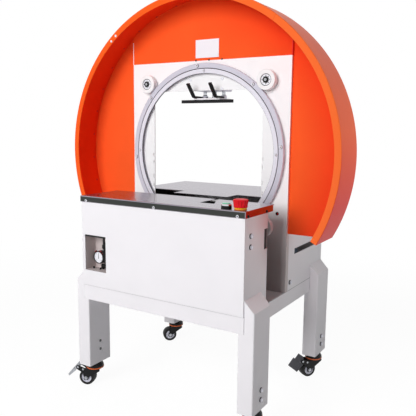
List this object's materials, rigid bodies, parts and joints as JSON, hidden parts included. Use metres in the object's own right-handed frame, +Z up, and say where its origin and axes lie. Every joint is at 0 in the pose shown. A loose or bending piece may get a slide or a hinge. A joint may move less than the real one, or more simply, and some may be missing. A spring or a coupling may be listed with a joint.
{
  "type": "orbital film wrapping machine",
  "caption": "Wheeled orbital stretch-film wrapper: upright ring in a round orange hood, two steel work tables, air press and start and stop buttons.",
  "frame": {"origin": "on the floor, under the middle of the base frame", "axes": "+X to the operator's right, +Y to the back, +Z up; the front table with the buttons faces -Y"},
  "size_m": [0.9509, 0.5814, 1.2445],
  "materials": {
    "frame_white": "gloss white powder coat",
    "deck_grey": "satin light grey paint",
    "cabinet_white": "gloss white powder coat",
    "window_grey": "satin grey",
    "stainless": "brushed, lengthwise grain",
    "panel_white": "gloss white powder coat",
    "hood_orange": "gloss orange red powder coat",
    "screw_steel": "bright zinc plated",
    "stop_yellow": "gloss",
    "stop_red": "gloss, ribbed rim",
    "bezel_black": "satin black",
    "start_green": "gloss",
    "gauge_black": "satin black with white dial",
    "needle_black": "black",
    "press_steel": "ground",
    "press_silver": "clear anodised",
    "press_rubber": "matte black",
    "finger_black": "satin black",
    "ring_silver": "satin anodised",
    "roller_white": "smooth white urethane",
    "pulley_grey": "machined",
    "motor_blue_grey": "satin",
    "belt_black": "matte",
    "film_clear": "stretch film on a core",
    "caster_black": "gloss black",
    "wheel_black": "black tread on a grey hub",
    "pedal_steel": "zinc grey"
  },
  "bodies": {
    "base": {"legs": "frame_white", "cross_beams": "frame_white", "side_rails": "frame_white", "floor_plate": "deck_grey", "front_cabinet": "cabinet_white", "window_box": "window_grey", "front_table": "stainless", "upright_panel": "panel_white", "upper_panel": "hood_orange", "blank_plate": "panel_white", "hood_left": "hood_orange", "hood_top": "hood_orange", "hood_right": "hood_orange", "hood_back_left": "hood_orange", "hood_back_right": "hood_orange", "fasteners": "screw_steel", "rear_cabinet": "cabinet_white", "rear_cover": "cabinet_white", "rear_table": "stainless", "estop_base": "stop_yellow", "button_bezel": "bezel_black", "gauge_case": "gauge_black", "regulator_body": "bezel_black", "press_bracket": "press_steel", "press_cylinder": "press_silver", "roller_mounts": "screw_steel", "motor": "motor_blue_grey", "drive_belt": "belt_black", "caster_heads": "caster_black"},
    "ring": {"ring_outer": "ring_silver", "ring_inner": "ring_silver", "ring_bolts": "screw_steel", "carriage_plate": "ring_silver", "film_spindle": "screw_steel"},
    "film": {"film_roll": "film_clear"},
    "roller_a": {"roller_upper_left": "roller_white"},
    "roller_b": {"roller_upper_right": "roller_white"},
    "roller_c": {"roller_lower_left": "roller_white"},
    "drive_roller": {"roller_lower_right": "roller_white", "drive_shaft": "screw_steel", "drive_pulley": "pulley_grey"},
    "motor_shaft": {"motor_pulley": "pulley_grey"},
    "press": {"press_rods": "press_steel", "press_plate": "press_silver", "press_pad": "press_rubber", "press_fingers": "finger_black"},
    "stop_button": {"estop_head": "stop_red"},
    "start_button": {"button_cap": "start_green"},
    "needle": {"gauge_needle": "needle_black"},
    "air_knob": {"regulator_knob": "bezel_black"},
    "fork_body_front_left": {"fork_front_left": "caster_black"},
    "wheel_body_front_left": {"wheel_front_left": "wheel_black"},
    "fork_body_front_right": {"fork_front_right": "caster_black"},
    "wheel_body_front_right": {"wheel_front_right": "wheel_black"},
    "fork_body_rear_left": {"fork_rear_left": "caster_black"},
    "wheel_body_rear_left": {"wheel_rear_left": "wheel_black"},
    "fork_body_rear_right": {"fork_rear_right": "caster_black"},
    "wheel_body_rear_right": {"wheel_rear_right": "wheel_black"},
    "pedal_body_front_left": {"pedal_front_left": "pedal_steel"},
    "pedal_body_rear_right": {"pedal_rear_right": "pedal_steel"}
  },
  "joints": [
    {"name": "ring_spin", "type": "hinge", "parent": "base", "child": "ring", "pos_m": [0, -0.032, 0.773], "axis": [0, 1, 0], "continuous": true},
    {"name": "roller_a_spin", "type": "hinge", "parent": "base", "child": "roller_a", "pos_m": [-0.2163, -0.037, 0.9893], "axis": [0, 1, 0], "continuous": true},
    {"name": "roller_b_spin", "type": "hinge", "parent": "base", "child": "roller_b", "pos_m": [0.2163, -0.037, 0.9893], "axis": [0, 1, 0], "continuous": true},
    {"name": "roller_c_spin", "type": "hinge", "parent": "base", "child": "roller_c", "pos_m": [-0.2163, -0.037, 0.5567], "axis": [0, 1, 0], "continuous": true},
    {"name": "drive_roller_spin", "type": "hinge", "parent": "base", "child": "drive_roller", "pos_m": [0.2163, -0.037, 0.5567], "axis": [0, 1, 0], "continuous": true},
    {"name": "motor_spin", "type": "hinge", "parent": "base", "child": "motor_shaft", "pos_m": [0.2163, 0.011, 0.4297], "axis": [0, 1, 0], "continuous": true},
    {"name": "film_spin", "type": "hinge", "parent": "ring", "child": "film", "pos_m": [0, -0.085, 0.428], "axis": [0, 1, 0], "continuous": true},
    {"name": "press_stroke", "type": "slide", "parent": "base", "child": "press", "axis": [0, 0, -1], "range_m": [0, 0.18], "stiffness_N_per_m": 120, "springref_m": -0.2},
    {"name": "stop_push", "type": "slide", "parent": "base", "child": "stop_button", "axis": [0, 0, -1], "range_m": [0, 0.004]},
    {"name": "start_push", "type": "slide", "parent": "base", "child": "start_button", "axis": [0, 0, -1], "range_m": [0, 0.003], "stiffness_N_per_m": 300, "springref_m": -0.001},
    {"name": "needle_turn", "type": "hinge", "parent": "base", "child": "needle", "pos_m": [-0.245, -0.2586, 0.444], "axis": [0, 1, 0], "range_deg": [-120, 120]},
    {"name": "air_knob_turn", "type": "hinge", "parent": "base", "child": "air_knob", "pos_m": [-0.208, -0.2535, 0.486], "axis": [0, 0, 1], "range_deg": [-170, 170]},
    {"name": "swivel_front_left", "type": "hinge", "parent": "base", "child": "fork_body_front_left", "pos_m": [-0.292, -0.2335, 0.06], "axis": [0, 0, 1], "continuous": true},
    {"name": "roll_front_left", "type": "hinge", "parent": "fork_body_front_left", "child": "wheel_body_front_left", "pos_m": [-0.31643, -0.24239, 0.0265], "axis": [0.342, -0.9397, 0], "continuous": true},
    {"name": "brake_front_left", "type": "hinge", "parent": "fork_body_front_left", "child": "pedal_body_front_left", "pos_m": [-0.34274, -0.25197, 0.061], "axis": [0.342, -0.9397, 0], "range_deg": [0, 12]},
    {"name": "swivel_front_right", "type": "hinge", "parent": "base", "child": "fork_body_front_right", "pos_m": [0.292, -0.2335, 0.06], "axis": [0, 0, 1], "continuous": true},
    {"name": "roll_front_right", "type": "hinge", "parent": "fork_body_front_right", "child": "wheel_body_front_right", "pos_m": [0.279, -0.25602, 0.0265], "axis": [0.866, -0.5, 0], "continuous": true},
    {"name": "swivel_rear_left", "type": "hinge", "parent": "base", "child": "fork_body_rear_left", "pos_m": [-0.292, 0.2335, 0.06], "axis": [0, 0, 1], "continuous": true},
    {"name": "roll_rear_left", "type": "hinge", "parent": "fork_body_rear_left", "child": "wheel_body_rear_left", "pos_m": [-0.31039, 0.21512, 0.0265], "axis": [0.7071, -0.7071, 0], "continuous": true},
    {"name": "swivel_rear_right", "type": "hinge", "parent": "base", "child": "fork_body_rear_right", "pos_m": [0.292, 0.2335, 0.06], "axis": [0, 0, 1], "continuous": true},
    {"name": "roll_rear_right", "type": "hinge", "parent": "fork_body_rear_right", "child": "wheel_body_rear_right", "pos_m": [0.27709, 0.2122, 0.0265], "axis": [0.8192, -0.5736, 0], "continuous": true},
    {"name": "brake_rear_right", "type": "hinge", "parent": "fork_body_rear_right", "child": "pedal_body_rear_right", "pos_m": [0.26103, 0.18927, 0.061], "axis": [0.8192, -0.5736, 0], "range_deg": [0, 12]}
  ],
  "couplings": [
    {"joint": "roller_a_spin", "follows": "ring_spin", "ratio": -9.1867},
    {"joint": "roller_b_spin", "follows": "ring_spin", "ratio": -9.1867},
    {"joint": "roller_c_spin", "follows": "ring_spin", "ratio": -9.1867},
    {"joint": "drive_roller_spin", "follows": "ring_spin", "ratio": -9.1867},
    {"joint": "motor_spin", "follows": "ring_spin", "ratio": -9.1867}
  ]
}
